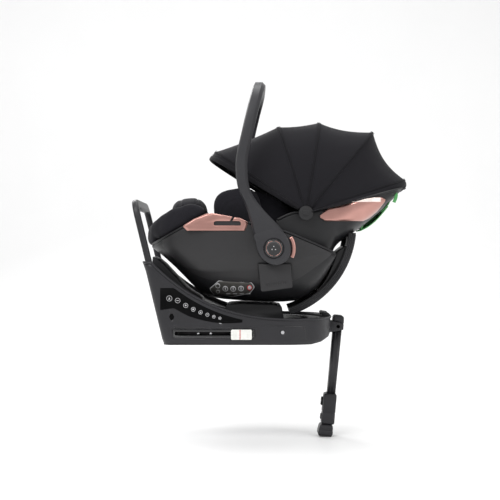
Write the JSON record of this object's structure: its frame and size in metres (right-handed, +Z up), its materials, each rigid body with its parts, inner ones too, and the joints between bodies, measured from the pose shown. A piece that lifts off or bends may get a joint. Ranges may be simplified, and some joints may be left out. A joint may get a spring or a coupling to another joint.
{
  "type": "infant car seat",
  "caption": "Infant car seat carrier with a reclining back, folding canopy and turning handle, docked on a rotating base with rebound bar, anchor arms and support leg.",
  "frame": {"origin": "on the base's underside plane, on the turntable's axis, in the seat's mid-plane", "axes": "+X toward the head end, +Y to the child's left as it lies, +Z up"},
  "size_m": [0.7449, 0.4444, 0.974],
  "materials": {
    "base_plastic": "fine grained dark grey plastic",
    "deck_plastic": "fine grained near-black plastic",
    "gloss_black": "polished black plastic",
    "white_plastic": "satin white plastic",
    "shell_plastic": "fine grained near-black plastic",
    "fairing_plastic": "fine grained dark grey plastic",
    "handle_plastic": "fine grained dark grey plastic",
    "rose_plastic": "satin rose metallic plastic",
    "socket_plastic": "fine grained grey plastic",
    "green_fabric": "woven green webbing",
    "cushion_fabric": "soft knitted dark fabric",
    "canopy_fabric": "tightly woven dark fabric",
    "webbing": "woven black webbing",
    "steel": "brushed",
    "leg_metal": "black powder coat",
    "inner_alloy": "satin",
    "sole_rubber": "matt",
    "red_plastic": "satin red plastic",
    "bow_plastic": "matt grey plastic"
  },
  "bodies": {
    "base": {"base_casing": "base_plastic", "rebound_bar": "base_plastic", "base_deck": "deck_plastic", "bearing_ring": "deck_plastic", "slot_trims": "gloss_black", "base_screws": "steel", "leg_hinge_pin": "steel", "isofix_rails": "steel"},
    "turn_lever": {"turn_lever": "deck_plastic"},
    "leg": {"leg_head": "base_plastic", "leg_tube": "leg_metal", "leg_collar": "base_plastic"},
    "leg_button": {"leg_button": "deck_plastic"},
    "leg_slide": {"leg_inner_tube": "inner_alloy", "leg_foot": "base_plastic", "foot_sole": "sole_rubber"},
    "anchor_left": {"isofix_connector_left": "leg_metal", "isofix_slider_left": "white_plastic"},
    "anchor_right": {"isofix_connector_right": "leg_metal", "isofix_slider_right": "white_plastic"},
    "turntable": {"turntable_disc": "deck_plastic", "carrier_dock": "deck_plastic", "dock_hooks": "steel"},
    "carrier": {"lower_shell": "shell_plastic", "side_fairing_left": "fairing_plastic", "side_fairing_right": "fairing_plastic", "belt_guide_left": "rose_plastic", "belt_guide_right": "rose_plastic", "hub_trims": "rose_plastic", "adapter_socket_left": "socket_plastic", "adapter_socket_right": "socket_plastic", "pivot_hubs": "shell_plastic", "seat_liner": "cushion_fabric", "leg_cushion": "cushion_fabric", "infant_insert": "cushion_fabric", "crotch_strap": "webbing", "harness_buckle": "gloss_black", "adjuster_button": "socket_plastic"},
    "buckle_button": {"buckle_button": "red_plastic"},
    "handle": {"carry_handle": "handle_plastic"},
    "handle_button_left": {"handle_button_left": "gloss_black"},
    "handle_button_right": {"handle_button_right": "gloss_black"},
    "back": {"back_shell": "shell_plastic", "back_panel_left": "rose_plastic", "back_panel_right": "rose_plastic", "recline_band": "shell_plastic", "back_cushion": "cushion_fabric", "shoulder_pads": "cushion_fabric", "release_handle": "green_fabric", "canopy_rivets": "deck_plastic", "canopy_gore_4": "canopy_fabric"},
    "headrest": {"headrest": "cushion_fabric"},
    "bow_4": {"canopy_bow_4": "bow_plastic", "canopy_gore_3": "canopy_fabric"},
    "bow_3": {"canopy_bow_3": "bow_plastic", "canopy_gore_2": "canopy_fabric"},
    "bow_2": {"canopy_bow_2": "bow_plastic", "canopy_gore_1": "canopy_fabric"},
    "bow_1": {"canopy_bow_1": "bow_plastic", "canopy_visor": "canopy_fabric"}
  },
  "joints": [
    {"name": "leg_fold", "type": "hinge", "parent": "base", "child": "leg", "pos_m": [0.204, 0, 0.038], "axis": [0, 1, 0], "range_deg": [0, 72]},
    {"name": "leg_button_press", "type": "slide", "parent": "leg", "child": "leg_button", "axis": [0.9954, 0, -0.0958], "range_m": [0, 0.0025], "stiffness_N_per_m": 600, "springref_m": -0.002},
    {"name": "leg_extend", "type": "slide", "parent": "leg", "child": "leg_slide", "axis": [-0.0958, 0, -0.9954], "range_m": [0, 0.14]},
    {"name": "anchor_slide_left", "type": "slide", "parent": "base", "child": "anchor_left", "axis": [-1, 0, 0], "range_m": [0, 0.13]},
    {"name": "anchor_slide_right", "type": "slide", "parent": "base", "child": "anchor_right", "axis": [-1, 0, 0], "range_m": [0, 0.13]},
    {"name": "turn_release", "type": "hinge", "parent": "base", "child": "turn_lever", "pos_m": [0.179, 0, 0.072], "axis": [0, 1, 0], "range_deg": [0, 25], "stiffness_Nm_per_rad": 1, "springref_deg": -11.46},
    {"name": "turntable_turn", "type": "hinge", "parent": "base", "child": "turntable", "pos_m": [0, 0, 0.058], "axis": [0, 0, 1], "range_deg": [-90, 90]},
    {"name": "carrier_lift", "type": "slide", "parent": "turntable", "child": "carrier", "axis": [0, 0, 1], "range_m": [0, 0.3]},
    {"name": "handle_turn", "type": "hinge", "parent": "carrier", "child": "handle", "pos_m": [0.022, 0, 0.254], "axis": [0, 1, 0], "range_deg": [-57, 100]},
    {"name": "handle_release_left", "type": "slide", "parent": "handle", "child": "handle_button_left", "axis": [0, -1, 0], "range_m": [0, 0.003], "stiffness_N_per_m": 600, "springref_m": -0.002},
    {"name": "handle_release_right", "type": "slide", "parent": "handle", "child": "handle_button_right", "axis": [0, 1, 0], "range_m": [0, 0.003], "stiffness_N_per_m": 600, "springref_m": -0.002},
    {"name": "buckle_release", "type": "slide", "parent": "carrier", "child": "buckle_button", "axis": [-1, 0, 0], "range_m": [0, 0.003], "stiffness_N_per_m": 800, "springref_m": -0.002},
    {"name": "back_recline", "type": "hinge", "parent": "carrier", "child": "back", "pos_m": [-0.008, 0, 0.318], "axis": [0, -1, 0], "range_deg": [0, 20]},
    {"name": "headrest_height", "type": "slide", "parent": "back", "child": "headrest", "axis": [0.766, 0, 0.6428], "range_m": [0, 0.05]},
    {"name": "canopy_fold", "type": "hinge", "parent": "back", "child": "bow_4", "pos_m": [0.108, 0, 0.348], "axis": [0, 1, 0], "range_deg": [0, 22], "deforming": ["canopy_gore_4"]},
    {"name": "canopy_fold_3", "type": "hinge", "parent": "bow_4", "child": "bow_3", "pos_m": [0.108, 0, 0.348], "axis": [0, 1, 0], "range_deg": [0, 24], "deforming": ["canopy_gore_3"]},
    {"name": "canopy_fold_2", "type": "hinge", "parent": "bow_3", "child": "bow_2", "pos_m": [0.108, 0, 0.348], "axis": [0, 1, 0], "range_deg": [0, 19], "deforming": ["canopy_gore_2"]},
    {"name": "canopy_fold_1", "type": "hinge", "parent": "bow_2", "child": "bow_1", "pos_m": [0.108, 0, 0.348], "axis": [0, 1, 0], "range_deg": [0, 29], "deforming": ["canopy_gore_1"]}
  ],
  "couplings": [
    {"joint": "canopy_fold_3", "follows": "canopy_fold", "ratio": 1.0909},
    {"joint": "canopy_fold_2", "follows": "canopy_fold", "ratio": 0.8636},
    {"joint": "canopy_fold_1", "follows": "canopy_fold", "ratio": 1.318}
  ]
}
